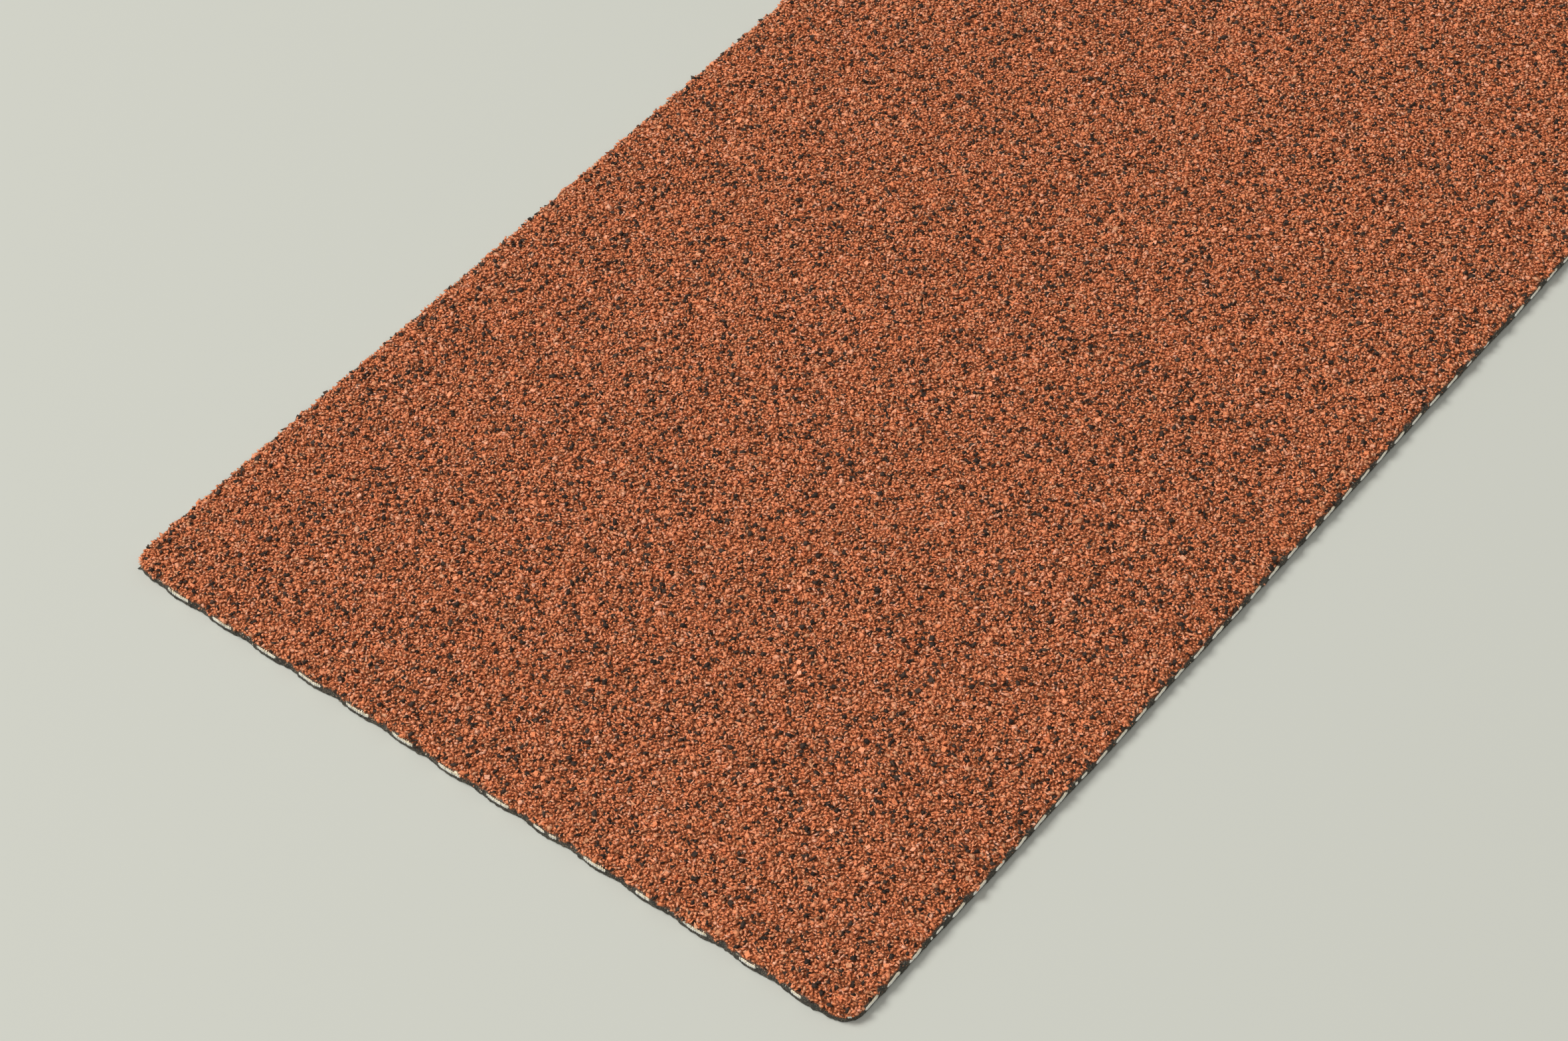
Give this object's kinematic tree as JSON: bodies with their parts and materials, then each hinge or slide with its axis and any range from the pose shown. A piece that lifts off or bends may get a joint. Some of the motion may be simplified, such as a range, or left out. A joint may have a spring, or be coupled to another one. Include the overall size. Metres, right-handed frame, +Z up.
{
  "type": "lead-free flashing sheet",
  "caption": "Flat cut piece of granule-surfaced lead-free roof flashing, black polymer compound with an expanded aluminium mesh whose cut strand ends show along its edges",
  "frame": {"origin": "on the underside, at the middle of the sheet", "axes": "+X across the sheet, +Y along it, +Z up out of the granule face"},
  "size_m": [0.15, 0.3, 0.0026],
  "materials": {
    "compound": "matt black polymer compound, soft sheen, cut and smeared edges",
    "mesh": "bare sheared aluminium, striated cut ends",
    "granules": "crushed mineral granules, terracotta colour coat with a few dark grey ones"
  },
  "bodies": {
    "root": {"compound_sheet": "compound", "expanded_mesh": "mesh", "granule_bed": "granules"}
  },
  "joints": []
}
